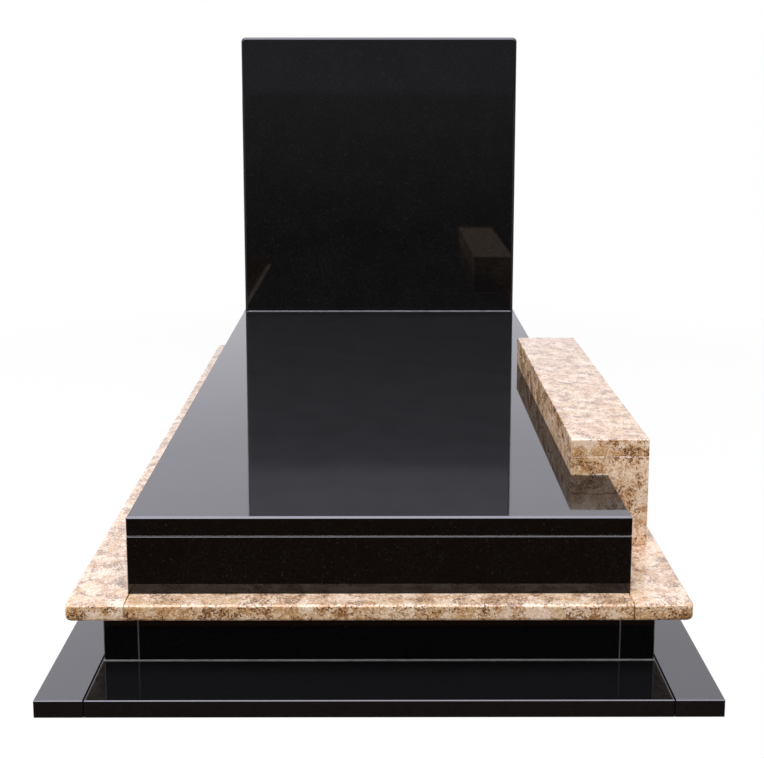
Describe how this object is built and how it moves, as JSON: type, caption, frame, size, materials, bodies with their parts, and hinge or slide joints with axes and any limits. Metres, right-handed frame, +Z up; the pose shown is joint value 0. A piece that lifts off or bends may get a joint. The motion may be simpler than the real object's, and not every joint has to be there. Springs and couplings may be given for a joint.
{
  "type": "grave monument",
  "caption": "Low stepped grave monument of polished black and pink granite: a surround, plinth, ledge, cover slab, upright headstone and a stone bench along one side.",
  "frame": {"origin": "on the ground, under the middle of the base surround", "axes": "+Z up; the foot end faces -Y and the headstone is at the +Y end; the bench is on the +X side"},
  "size_m": [1.31, 2.36, 1.344],
  "materials": {
    "black_granite": "mirror-polished black granite",
    "pink_granite": "polished cream and pink granite with brown grains",
    "sealant": "matt grey joint sealant"
  },
  "bodies": {
    "root": {"base_front": "black_granite", "base_rear": "black_granite", "base_left": "black_granite", "base_right": "black_granite", "plinth_front": "black_granite", "plinth_rear": "black_granite", "plinth_left": "black_granite", "plinth_right": "black_granite", "plinth_bead_front": "sealant", "plinth_bead_rear": "sealant", "plinth_bead_left": "sealant", "plinth_bead_right": "sealant", "ledge_front": "pink_granite", "ledge_rear": "pink_granite", "ledge_left": "pink_granite", "ledge_right": "pink_granite", "box_front_wall": "black_granite", "box_left_wall": "black_granite", "box_right_wall": "black_granite", "head_wall": "black_granite", "cover_slab": "black_granite", "slab_bead_front": "sealant", "slab_bead_rear": "sealant", "slab_bead_left": "sealant", "slab_bead_right": "sealant", "headstone": "black_granite", "headstone_bead_front": "sealant", "headstone_bead_rear": "sealant", "bench_body": "pink_granite", "bench_top": "pink_granite"}
  },
  "joints": []
}
